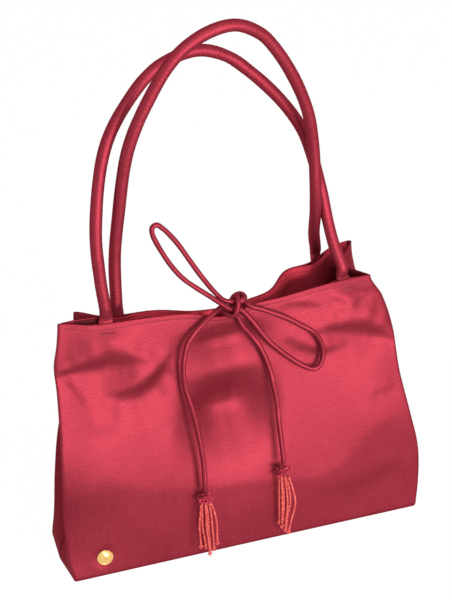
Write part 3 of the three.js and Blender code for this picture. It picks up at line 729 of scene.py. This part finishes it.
# The handles: satin cut on the bias, sewn to a tube and drawn over a thick cotton cord, so
# that it puckers in fine rings. The ends are empty, pressed flat and sewn in at the rims.
handle_radius, sleeve_wall, core_gap = 5.0, 0.8, 0.3
tongue_half, tongue_thick, tongue_depth, tongue_rise, flare_height = 6.1, 1.1, 20.0, 3.0, 14.0
front_rise, back_rise = 202, 231
tongue_share = 1 - tongue_depth / rim_height
root_share = tongue_share - 0.01
# A handle's line: (share of the way from root to root, lean in mm, share of the rise).
front_arc = [
    (-0.016, 1, 0.17), (-0.022, 4, 0.38), (0.04, 14, 0.68), (0.142, 20, 0.84), (0.27, 25, 0.955),
    (0.43, 27, 1), (0.55, 28, 0.965), (0.655, 27, 0.885), (0.78, 26.5, 0.757), (0.865, 26, 0.635),
    (0.912, 26.5, 0.522), (0.949, 23, 0.375), (0.966, 18, 0.26), (0.98, 9, 0.149),
]
back_arc = [
    (-0.002, 0, 0.2), (0.01, -5, 0.36), (0.05, -13, 0.61), (0.136, -20, 0.78), (0.24, -26, 0.91),
    (0.366, -31, 0.98), (0.495, -35, 1), (0.61, -36, 0.96), (0.678, -36, 0.905), (0.775, -35, 0.79),
    (0.857, -32, 0.653), (0.899, -28.5, 0.516), (0.92, -27, 0.352), (0.938, -21, 0.253),
    (0.963, -10, 0.146),
]


def laid_line(points, spacing):
    """A smooth line through points: its places every spacing mm, and its length."""
    points = np.array(points, float)
    points = np.vstack([2 * points[0] - points[1], points, 2 * points[-1] - points[-2]])
    share = np.linspace(0, 1, 40, endpoint=False)[:, None]
    pieces = []
    for p0, p1, p2, p3 in zip(points, points[1:], points[2:], points[3:]):
        d0, d1, d2 = (np.sqrt(np.linalg.norm(b - a)) for a, b in ((p0, p1), (p1, p2), (p2, p3)))
        t1 = ((p1 - p0) / d0 - (p2 - p0) / (d0 + d1) + (p2 - p1) / d1) * d1
        t2 = ((p2 - p1) / d1 - (p3 - p1) / (d1 + d2) + (p3 - p2) / d2) * d1
        bend = 2 * p1 - 2 * p2 + t1 + t2
        pieces.append(p1 + t1 * share + (-3 * p1 + 3 * p2 - 2 * t1 - t2) * share**2 + bend * share**3)
    fine = np.vstack([*pieces, points[-2][None]])
    run = np.concatenate([[0], np.cumsum(np.linalg.norm(np.diff(fine, axis=0), axis=1))])
    stops = np.linspace(0, run[-1], round(run[-1] / spacing) + 1)
    return np.stack([np.interp(stops, run, fine[:, k]) for k in range(3)], -1), run[-1]


def along_line(line):
    return unit(np.gradient(line, axis=0))


def sleeve(line, thin, section):
    """A tube's surface at shares u round it and v along it, closed to a point at its ends."""
    wide = unit(np.cross(along_line(line), thin))
    deep = unit(np.cross(wide, along_line(line)))
    last = len(line) - 1

    def shape(u, v):
        k = np.rint(v * last).astype(int)
        angle = 2 * np.pi * u
        across, through = section(angle, k)
        open_part = ((k > 0) & (k < last)).astype(float)
        aside = wide[k] * (np.cos(angle) * across * open_part)[:, None]
        return line[k] + aside + deep[k] * (np.sin(angle) * through * open_part)[:, None]

    return shape


def tube_piece(name, line, thin, section, sides, girth, length):
    us, vs = np.linspace(0, 1, sides + 1), np.linspace(0, 1, len(line))
    piece = grid_piece(name, sleeve(line, thin, section), us, vs, (girth, length), wrap=True)
    face_out(piece)
    return piece


def root_facing(face, root, turn):
    """The direction into the bag at a handle's flat end."""
    foot_left, foot_right = (face(u, root_share) for u in root)
    rim_left, rim_right = (face(u, 1.0) for u in root)
    across = foot_right - foot_left + rim_right - rim_left
    up = rim_left - foot_left + rim_right - foot_right
    return unit(np.cross(across, up)) * -turn


def tongue_at(face, turn, root, v):
    ends = [face(u, v) + inwards(face, u, v, turn) * (satin + seam_gap + tongue_thick) for u in root]
    return sum(ends) / 2


cotton_paint, start = material("cotton_cord")
chart = start.node("ShaderNodeUVMap", {"uv_map": "cloth"}, {})
strands = {"Vector": chart, "Scale": 300, "Distortion": 2}
twist = start.node("ShaderNodeTexWave", {"bands_direction": "DIAGONAL"}, strands)
bump = bumped(twist, 0.15 * mm)
surface(start, {
    "Base Color": twist.tint((0.5, 0.44, 0.36), (0.78, 0.73, 0.64)), "Roughness": 0.9, "Normal": bump,
})

handle_paint = satin_paint(
    "burgundy_satin_bias", (0.19, 0.016, 0.027), (0.35, 0.037, 0.057), 0.52, 0.75, 260, 90, 0.05)
sleeve_sides, sleeve_girth, core_sides, core_girth = 20, 31.4, 18, 24
ring_pitch, lump_pitch = 2.1, 12
handles = (
    ("front", front_face, 1, front_roots, front_arc, front_rise, 4),
    ("back", back_face, -1, back_roots, back_arc, back_rise, 9),
)
for side, face, turn, roots, arc, rise, seed in handles:
    feet = [[tongue_at(face, turn, root, v) for v in (tongue_share, 1.0)] for root in roots]
    first, last = (rim + unit(rim - foot) * tongue_rise for foot, rim in feet)
    stub = np.array([0, 0, flare_height / 2])
    route = [*feet[0], first, first + stub]
    for share, lean, height in arc:
        y = mix(first[1], last[1], min(max(share, 0), 1)) + lean
        route.append(np.array([mix(first[0], last[0], share), y, first[2] + rise * height]))
    route += [last + stub, last, feet[1][1], feet[1][0]]
    line, length = laid_line(route, 0.5)
    run = np.linspace(0, length, len(line))
    from_end = np.minimum(run, length - run)
    flat_to = tongue_depth + tongue_rise
    full = ease(from_end, tongue_depth + 0.5, tongue_depth + flare_height)
    upright = np.array([0.0, turn, 0.0])
    at_roots = [root_facing(face, root, turn) for root in roots]
    root_way = np.where((run < length / 2)[:, None], at_roots[0], at_roots[1])
    thin = mix(root_way, upright, full[:, None])
    dice = np.random.default_rng(seed)
    rings = dice.uniform(0.3, 1.0, int(length / ring_pitch) + 3)
    tilt = dice.uniform(-0.9, 0.9, len(rings))
    places = [lump_pitch * k for k in range(int(length / lump_pitch) + 2)]
    lumps = smooth_rows([(place, dice.normal(0, 0.07)) for place in places])(run)[:, 0]

    def puckered(angle, k):
        count = run[k] / ring_pitch
        ring = np.floor(count).astype(int)
        depth = rings[ring] * (0.6 + 0.4 * np.sin(angle + ring * 2.4))
        wave = np.sin((count - ring + 0.12 * tilt[ring] * np.sin(angle)) * np.pi) ** 2
        relief = (0.16 * depth * wave - 0.08 + lumps[k]) * full[k]
        seam = 0.35 * np.exp(-(((angle - 4.6) / 0.12) ** 2)) * full[k]
        size = handle_radius + relief - seam
        return mix(tongue_half, size, full[k] ** 0.5), mix(tongue_thick, size, full[k])

    tube = tube_piece(f"{side}_handle", line, thin, puckered, sleeve_sides, sleeve_girth, length)
    finish_piece(tube, handle_paint, (f"{side}_handle_sleeve",), 80)

    inside = np.flatnonzero(from_end >= flat_to + flare_height)[::2]
    core_line, core_thin, core_run = line[inside], thin[inside], run[inside]

    def plies(angle, k):
        radius = handle_radius - sleeve_wall - core_gap - 0.35
        size = radius + 0.3 * np.abs(np.cos(1.5 * (angle + core_run[k] * 0.16)))
        return size, size

    core = tube_piece(f"{side}_handle_core", core_line, core_thin, plies, core_sides, core_girth, length)
    finish_piece(core, cotton_paint, (f"{side}_handle_filler",), 80)

# The tie cords: narrow satin tubes turned through their own seam, sewn in behind the rims and
# tied in a bow. Each ends in a tassel of glass beads.
cord_diameter = 4.2
front_tie_route = [
    (-15, -7.9, 205.4), (-14.6, -8.9, 207.2), (-12.8, -12.4, 207.2), (-10.4, -16, 206.2),
    (-8.2, -17.8, 207.4), (-6.6, -18.3, 210.4), (-5, -17.6, 214), (-3.8, -14.6, 218.8), (-2.6, -10, 221),
    (-1, -5.6, 218.8), (0.9, -4.3, 214.8), (4.6, -7.2, 212.8), (8.6, -12, 210), (17.8, -14.4, 206.6),
    (38.9, -18.9, 196.6), (48.9, -22.3, 190.3), (57.9, -25.3, 184.5), (63.7, -26.2, 177.7),
    (67.3, -27, 167.5), (66.9, -27.9, 158.4), (63.5, -28.6, 152.4), (58.6, -28.4, 150.8),
    (51.2, -27.2, 154), (40.3, -25, 161.8), (21.5, -20.4, 179.7), (6.8, -14.6, 200.6),
    (0.6, -11.2, 207.4), (-5, -8.6, 209.2), (-12, -8.5, 211.6), (-15.5, -9, 212.2), (-27, -15, 209.2),
    (-44.8, -21.4, 198.6), (-51.3, -23.6, 191), (-54.7, -25.6, 180.9), (-56.2, -27.2, 170.1),
    (-55.5, -30, 155.6), (-50.5, -35.2, 132.9), (-46.2, -43.8, 95.3), (-46.3, -48.3, 74),
    (-46.3, -48.8, 67),
]
back_tie_route = [
    (-4, 0.6, 207.4), (-3.6, 0.8, 210.8), (-0.6, 1.4, 214.8), (2.9, -0.4, 217.1), (4.2, -4.6, 218),
    (4.3, -8.8, 217.2), (1.6, -10.8, 216.1), (-3, -10.4, 215.4), (-8, -9.9, 216), (-14.1, -9.5, 218.2),
    (-21.4, -9.5, 226), (-31.1, -9, 239.3), (-39.3, -8, 252), (-52.6, -6.5, 273.4), (-59.2, -6, 282),
    (-64.8, -6, 288), (-69.4, -6, 291.2), (-73, -6.1, 289.2), (-72.8, -6.4, 283.4), (-70.4, -6.7, 277.4),
    (-65.7, -7, 268), (-58.8, -8, 256.1), (-49.7, -9.6, 244.1), (-39.2, -11.2, 234.7),
    (-27.5, -12.6, 225.4), (-17.4, -13.4, 217), (-11.6, -13.7, 212.6), (-7, -13.7, 209),
    (-4.4, -14.2, 204.6), (0, -14.8, 195.5), (7.6, -16.2, 185.5), (13.3, -18.9, 176.6),
    (17.8, -22, 166.1), (20.9, -25.4, 154.2), (22.5, -29.1, 141.7), (23.8, -32.6, 129.8),
    (23.9, -38, 110.7), (24.2, -43.9, 92), (24.2, -47.4, 81.5), (24.2, -48, 77.5),
]


def carried_along(line):
    """A direction square to a line, carried along it without twist."""
    along = along_line(line)
    side = unit(np.cross(along[0], (0.3, 1.0, 0.2)))
    carried = [side]
    for way in along[1:]:
        side = side - way * (side @ way)
        side = side / np.linalg.norm(side)
        carried.append(side)
    return np.array(carried)


tie_paint = satin_paint(
    "burgundy_satin_cord", (0.18, 0.015, 0.026), (0.32, 0.034, 0.053), 0.48, 0.7, 380, 60, 0.04)
tie_sides, tie_girth, plump_pitch, turning_pitch = 18, 13.2, 9, 30
ties = {}
knot, knot_swell, knot_reach = np.array([0.0, -9.0, 213.0]), 0.75, 8
for side, route, seed in (("front", front_tie_route, 3), ("back", back_tie_route, 8)):
    line, length = laid_line(route, 0.8)
    run = np.linspace(0, length, len(line))
    dice = np.random.default_rng(seed)
    places = [plump_pitch * k for k in range(int(length / plump_pitch) + 2)]
    plump = smooth_rows([(place, dice.normal(0, 0.06)) for place in places])(run)[:, 0]
    places = [turning_pitch * k for k in range(int(length / turning_pitch) + 2)]
    turning = smooth_rows([(place, dice.uniform(-1.2, 1.2)) for place in places])(run)[:, 0]

    def tubed(angle, k):
        seam = 0.2 * np.exp(-(((np.mod(angle - turning[k], 2 * np.pi) - np.pi) / 0.26) ** 2))
        ridge = 0.12 * np.exp(-(((np.mod(angle - turning[k] - 0.5, 2 * np.pi) - np.pi) / 0.3) ** 2))
        tied = knot_swell * np.exp(-((np.linalg.norm(line[k] - knot, axis=-1) / knot_reach) ** 2))
        rings = 0.05 * np.sin(run[k] * 3.1 + 2 * np.sin(angle))
        size = cord_diameter / 2 + plump[k] + tied - seam + ridge + rings
        return size, size

    tie = tube_piece(f"{side}_tie_cord", line, carried_along(line), tubed, tie_sides, tie_girth, length)
    finish_piece(tie, tie_paint, (f"{side}_tie",), 80)
    ties[side] = (tie, route, length)

# The tassels: on each cord end, a rosette of crimson seed-bead loops over six strands of
# coral seed beads, each strand ending in a picot of three beads.
rosette_size, rosette_height, bead_size, petals = 14.0, 11.0, 2.1, 7


def bead_paint(name, deep, bright):
    made, start = material(name)
    spot = start.node("ShaderNodeTexCoord", {}, {}, object_output)
    patch, fine = noise(spot, 420, 2), noise(spot, 3000, 1)
    bump = bumped(fine, 0.03 * mm)
    surface(start, {
        "Base Color": (patch * 2.4 - 0.7).tint(deep, bright), "Roughness": 0.2 + fine * 0.12,
        "Normal": bump, "IOR": 1.45,
    })
    return made


crimson_glass = bead_paint("crimson_glass", (0.26, 0.008, 0.022), (0.8, 0.05, 0.12))
coral_glass = bead_paint("coral_glass", (0.62, 0.03, 0.03), (0.97, 0.2, 0.17))

bpy.ops.object.select_all(action="DESELECT")
bpy.ops.mesh.primitive_torus_add(major_segments=9, minor_segments=6, major_radius=0.29, minor_radius=0.21)
bead_form = bpy.context.object
bpy.ops.object.mode_set(mode="EDIT")
bpy.ops.transform.resize(value=(1, 1, 1.85))
bpy.ops.object.mode_set(mode="OBJECT")


def copied(name, form, rows):
    """Copies of a form as one piece, from (place, direction, width, length) in mm."""
    bpy.ops.object.select_all(action="DESELECT")
    copies = []
    for place, way, width, length in rows:
        copy = form.copy()
        copy.data = form.data.copy()
        copy.location = Vector(place) * mm
        copy.rotation_euler = Vector(way).to_track_quat("Z", "Y").to_euler()
        copy.scale = (width * mm, width * mm, length * mm)
        scene.collection.objects.link(copy)
        copy.select_set(True)
        copies.append(copy)
    bpy.context.view_layer.objects.active = copies[0]
    bpy.ops.object.join()
    bpy.ops.object.transform_apply(location=True, rotation=True, scale=True)
    bpy.context.object.name = bpy.context.object.data.name = name
    return bpy.context.object


def strung(name, beads):
    return copied(name, bead_form, [(place, way, width, width) for place, way, width in beads])


# A strand: x and y where it leaves the rosette, x half way down, x at its foot, length.
left_strands = [
    (-4.4, -1.4, -6, -4.6, 41), (-2.6, 1.4, -2.2, 1, 44), (-0.6, -1.4, 0.6, 3.6, 50),
    (1.4, 1.4, 3.2, 5, 48), (3, -1.4, 5.4, 7.2, 46), (5, 1.4, 10.4, 11, 43),
]
right_strands = [
    (-3.8, 1.4, -3, -2.4, 47), (-2.6, -1.4, -1.4, -1.2, 50), (-0.6, 1.4, 1.2, 1, 44),
    (0.4, -1.4, 3.4, 1.8, 54), (2.4, 1.4, 7.2, 3.6, 52), (3.6, -1.4, 10.6, 4.6, 57),
]
# A rosette's heart: rings of beads at (height, share of its reach, count).
rosette_rings = ((-3.6, 0.45, 7), (-1.8, 0.62, 9), (0.6, 0.62, 9), (3.2, 0.4, 6))
loop_beads, loop_middle, loop_radius, bead_pitch = 7, 4.1, 1.9, 1.78
picot = ((-1.05, 0.1), (1.05, 0.1), (0, -1.5))
small_bead = bead_size * 0.92
tassels = (("left", "front", left_strands, 5), ("right", "back", right_strands, 6))
for side, tie_side, strands, seed in tassels:
    tie, route, length = ties[tie_side]
    dice = np.random.default_rng(seed)
    x, y, z = route[-1]
    foot = z - seam_gap - rosette_height
    middle = np.array([x, y, foot + rosette_height / 2])
    reach = rosette_size / 2 - bead_size / 2
    beads = []
    for ring, (height, radius, count) in enumerate(rosette_rings):
        for k in range(count):
            angle = 2 * np.pi * k / count + ring
            out = np.array([math.cos(angle), math.sin(angle), 0])
            place = middle + out * (reach * radius) + (0, 0, height)
            beads.append((place, (-out[1], out[0], 0.3), bead_size))
    for k, angle in enumerate(np.linspace(0, 2 * np.pi, petals, endpoint=False) + dice.uniform(0, 1)):
        out = np.array([math.cos(angle), math.sin(angle), dice.uniform(-0.35, 0.35)])
        side_way = np.array([-math.sin(angle), math.cos(angle), dice.uniform(-0.5, 0.5)])
        lift = np.array([0, 0, 1.6 * (-1) ** k + dice.uniform(-0.5, 0.5)])
        for spin in np.linspace(0, 2 * np.pi, loop_beads, endpoint=False):
            outwards, aside = loop_middle + loop_radius * math.cos(spin), loop_radius * math.sin(spin)
            place = middle + lift + out * outwards + side_way * aside
            beads.append((place, side_way * math.cos(spin) - out * math.sin(spin), small_bead))
    head = strung(f"{side}_bead_rosette", beads)
    finish_piece(head, crimson_glass, (f"{side}_rosette",), 80)
    top = foot - seam_gap
    for k, (top_x, top_y, middle_x, foot_x, strand_length) in enumerate(strands):
        down = ((top_x, 0), (mix(top_x, middle_x, 0.6), 0.22), (middle_x, 0.5),
                (mix(middle_x, foot_x, 0.6), 0.78), (foot_x, 1))
        sag = [(x + across, y + top_y, top - share * strand_length) for across, share in down]
        line, run = laid_line(sag, bead_pitch)
        beads = [
            (place, way + dice.normal(0, 0.12, 3), bead_size * dice.uniform(0.9, 1.02))
            for place, way in zip(line[:-2], along_line(line))
        ]
        for out_x, out_z in picot:
            beads.append((line[-2] + (out_x, 0, out_z), (out_z + 0.4, 0.2, out_x), small_bead))
        strand = strung(f"{side}_beads_{k + 1}", beads)
        finish_piece(strand, coral_glass, (f"{side}_bead_strand_{k + 1}",), 80)
    path = [tuple(np.array(point) * mm) for point in laid_line(route, 2)[0]]
    round(length * mm, 4)
bpy.data.objects.remove(bead_form)

# The stitching: one row of topstitching along each rim, through wall and facing, and a dense
# bar of stitches across each handle's root, in a thread a little darker than the satin.
thread_paint, start = material("burgundy_thread")
spot = start.node("ShaderNodeTexCoord", {}, {}, object_output)
twist = noise(spot, 5000, 2)
bump = bumped(twist, 0.03 * mm)
surface(start, {
    "Base Color": twist.tint((0.13, 0.006, 0.014), (0.32, 0.02, 0.04)), "Roughness": 0.4 + twist * 0.1,
    "Normal": bump,
})

bpy.ops.object.select_all(action="DESELECT")
bpy.ops.mesh.primitive_uv_sphere_add(segments=6, ring_count=5, radius=0.5)
stitch_form = bpy.context.object


def stitched(name, stitches):
    """Stitches as one piece, from (middle, direction, thickness, length) in mm."""
    finish_piece(copied(name, stitch_form, stitches), thread_paint, (), 80)


stitch_pitch, stitch_long, thread, rim_share = 2.9, 2.3, 0.55, 0.87
bar_depth, bar_half, bar_count, bar_stitch, bar_thread = 7.6, 0.9, 19, 2.2, 0.5


def run_of_stitches(face, low, high):
    """A row of stitches along a wall's face below its rim, between two shares of its width."""
    us, step = np.arange(low, high, stitch_pitch / (base_width * rim_share)), 0.002
    places, ahead = (face(at, np.full_like(at, 1 - stitch_depth / rim_height)) for at in (us, us + step))
    return [(place, way, thread, stitch_long) for place, way in zip(places, unit(ahead - places))]


for side, cloth_face in (("front", front_cloth), ("back", back_cloth)):
    stitched(f"{side}_topstitch", run_of_stitches(cloth_face, 0.008, 0.99))
for side, face, turn, relief, roots in walls:
    band_face = behind(face, turn, relief, lambda u, v: facing_gap(roots)(u, v) + lining)
    stitched(f"{side}_band_topstitch", run_of_stitches(band_face, 0.02, 0.976))

for side, cloth_face, roots in (("front", front_cloth, front_roots), ("back", back_cloth, back_roots)):
    for end, (low, high) in zip(("left", "right"), roots):
        us = np.linspace(low + 0.004, high - 0.004, bar_count)
        depths = bar_depth + bar_half * (-1.0) ** np.arange(bar_count)
        places = cloth_face(us, 1 - depths / rim_height)
        middles, ways = (places[1:] + places[:-1]) / 2, np.diff(places, axis=0)
        bar = [(place, way, bar_thread, bar_stitch) for place, way in zip(middles, ways)]
        stitched(f"{side}_{end}_bar_tack", bar)
bpy.data.objects.remove(stitch_form)

# The stud: a small turned brass dome, gilded, low on the front. Its post goes through the
# cloth and is clinched over a washer. The washer keeps its solid's shape.
gilt_paint, start = material("gilt_brass")
spot = start.node("ShaderNodeTexCoord", {}, {}, object_output)
brushed, patch = noise(spot, 2500, 3), noise(spot, 300, 2)
bump = bumped(brushed, 0.01 * mm)
surface(start, {
    "Base Color": patch.tint((0.8, 0.46, 0.13), (0.95, 0.66, 0.27)), "Metallic": 1.0,
    "Roughness": 0.16 + patch * 0.14, "Normal": bump,
})
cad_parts["washer"].data.materials.clear()
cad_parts["washer"].data.materials.append(gilt_paint)

stud_radius, stud_height, post_radius, clinch_radius = 6.75, 2.6, 1.0, 1.8
washer_thickness, clinch_thickness = 0.8, 0.6
clinch_top = -(satin + seam_gap) - washer_thickness - seam_gap
clinch_end = clinch_top - clinch_thickness
stud_outline = [
    (0, clinch_end), (clinch_radius - 0.15, clinch_end), (clinch_radius, clinch_end + 0.15),
    (clinch_radius, clinch_top - 0.1), (post_radius, clinch_top), (post_radius, seam_gap),
    (stud_radius - 0.2, seam_gap), (stud_radius, seam_gap + 0.15), (stud_radius, seam_gap + 0.6),
    (stud_radius - 0.2, seam_gap + 0.8), (stud_radius - 0.9, seam_gap + 0.85),
    (stud_radius - 1.15, seam_gap + 0.7), (stud_radius - 1.5, seam_gap + 0.95), (4.2, seam_gap + 1.75),
    (2.8, seam_gap + 2.3), (1.4, seam_gap + 2.53), (0, seam_gap + stud_height),
]
bpy.ops.object.select_all(action="DESELECT")
bpy.ops.mesh.primitive_circle_add(vertices=len(stud_outline), radius=1)
stud = bpy.context.object
stud.name = stud.data.name = "stud_dome"
for point, (radius, height) in zip(stud.data.vertices, stud_outline):
    point.co = (radius * mm, 0, height * mm)
bpy.ops.object.mode_set(mode="EDIT")
bpy.ops.mesh.select_all(action="SELECT")
bpy.ops.mesh.spin(steps=48, angle=2 * math.pi, center=(0, 0, 0), axis=(0, 0, 1))
bpy.ops.mesh.select_all(action="SELECT")
bpy.ops.mesh.remove_doubles(threshold=1e-6)
bpy.ops.mesh.normals_make_consistent(inside=False)
bpy.ops.object.mode_set(mode="OBJECT")
stud.rotation_euler = Vector(stud_out).to_track_quat("Z", "Y").to_euler()
stud.location = Vector(stud_seat) * mm
bpy.ops.object.transform_apply(location=True, rotation=True, scale=False)
finish_piece(stud, gilt_paint, ("stud",), 35)
